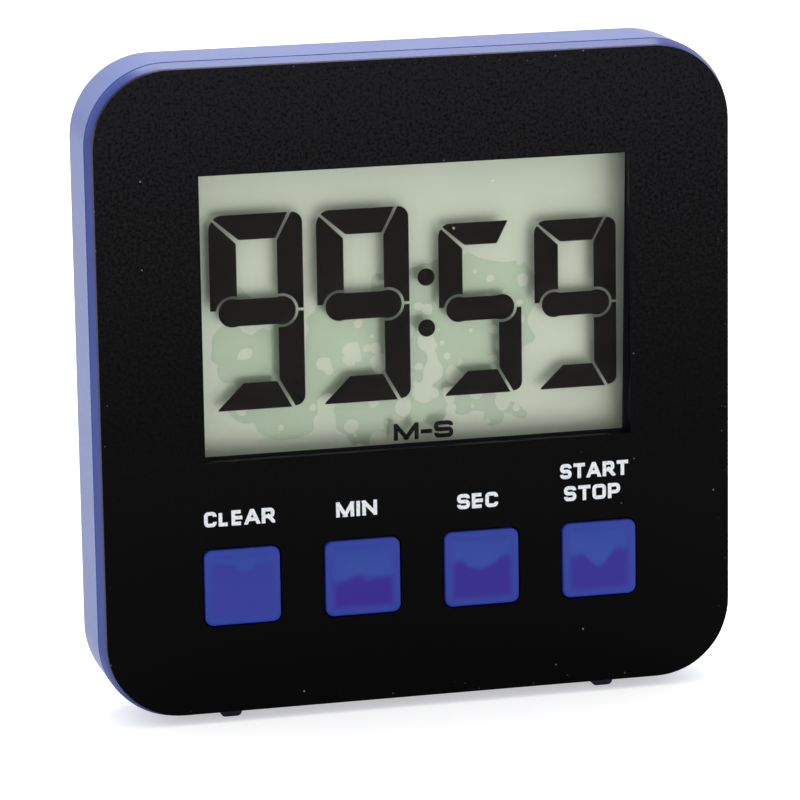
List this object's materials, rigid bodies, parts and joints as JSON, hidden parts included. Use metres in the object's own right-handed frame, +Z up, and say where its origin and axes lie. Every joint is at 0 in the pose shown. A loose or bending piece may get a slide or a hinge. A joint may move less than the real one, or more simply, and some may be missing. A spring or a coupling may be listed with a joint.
{
  "type": "lab timer",
  "caption": "Square upright countdown timer with a black front plate, a recessed segment display, blue push keys, a blue case, back magnets and a fold-out stand.",
  "frame": {"origin": "floor level under the middle of the case", "axes": "+Z up, front plate faces -Y, +X to the right seen from the front"},
  "size_m": [0.0762, 0.0154, 0.0773],
  "materials": {
    "plate_black": "fine matte",
    "frame_blue": "satin",
    "case_blue": "satin",
    "polariser": "smooth film",
    "display_glass": "polished",
    "reflector": "soft silver green film",
    "tray_white": "moulded",
    "elastomer": "layered",
    "board_green": "solder mask",
    "epoxy_black": "gloss",
    "can_metal": "bright",
    "capacitor_tan": "fired",
    "keypad_grey": "moulded",
    "key_blue": "gloss",
    "carbon": "conductive",
    "sounder_brass": "rolled",
    "sounder_ceramic": "silvered",
    "lead_red": "extruded",
    "cell_steel": "bright",
    "contact_metal": "plated",
    "door_blue": "satin",
    "magnet_grey": "nickel plated",
    "foot_indigo": "satin",
    "stand_blue": "satin",
    "pin_steel": "drawn",
    "screw_steel": "plated"
  },
  "bodies": {
    "case": {"front_plate": "plate_black", "front_frame": "frame_blue", "rear_case": "case_blue", "lcd_polariser": "polariser", "lcd_front_glass": "display_glass", "lcd_rear_glass": "display_glass", "lcd_reflector": "reflector", "lcd_tray": "tray_white", "contact_strip_upper": "elastomer", "contact_strip_lower": "elastomer", "circuit_board": "board_green", "controller_blob": "epoxy_black", "crystal": "can_metal", "chip_capacitors": "capacitor_tan", "keypad_sheet": "keypad_grey", "piezo_disc": "sounder_brass", "piezo_ceramic": "sounder_ceramic", "piezo_leads": "lead_red", "button_cell": "cell_steel", "positive_contact": "contact_metal", "negative_contact": "contact_metal", "magnet_left": "magnet_grey", "magnet_right": "magnet_grey", "foot_left": "foot_indigo", "foot_right": "foot_indigo", "board_screws": "screw_steel", "case_screws": "screw_steel"},
    "clear_key": {"key_clear": "key_blue", "boss_clear": "keypad_grey", "pill_clear": "carbon"},
    "minutes_key": {"key_minutes": "key_blue", "boss_minutes": "keypad_grey", "pill_minutes": "carbon"},
    "seconds_key": {"key_seconds": "key_blue", "boss_seconds": "keypad_grey", "pill_seconds": "carbon"},
    "start_key": {"key_start": "key_blue", "boss_start": "keypad_grey", "pill_start": "carbon"},
    "stand": {"stand_flap": "stand_blue", "stand_pin": "pin_steel"},
    "door": {"battery_door": "door_blue"}
  },
  "joints": [
    {"name": "clear_press", "type": "slide", "parent": "case", "child": "clear_key", "axis": [0, 1, 0], "range_m": [0, 0.0006], "stiffness_N_per_m": 1200, "springref_m": -0.0003},
    {"name": "minutes_press", "type": "slide", "parent": "case", "child": "minutes_key", "axis": [0, 1, 0], "range_m": [0, 0.0006], "stiffness_N_per_m": 1200, "springref_m": -0.0003},
    {"name": "seconds_press", "type": "slide", "parent": "case", "child": "seconds_key", "axis": [0, 1, 0], "range_m": [0, 0.0006], "stiffness_N_per_m": 1200, "springref_m": -0.0003},
    {"name": "start_press", "type": "slide", "parent": "case", "child": "start_key", "axis": [0, 1, 0], "range_m": [0, 0.0006], "stiffness_N_per_m": 1200, "springref_m": -0.0003},
    {"name": "stand_hinge", "type": "hinge", "parent": "case", "child": "stand", "pos_m": [0, 0.0061, 0.047], "axis": [1, 0, 0], "range_deg": [0, 40]},
    {"name": "door_lift_off", "type": "slide", "parent": "case", "child": "door", "axis": [0, 1, 0], "range_m": [0, 0.012]}
  ]
}
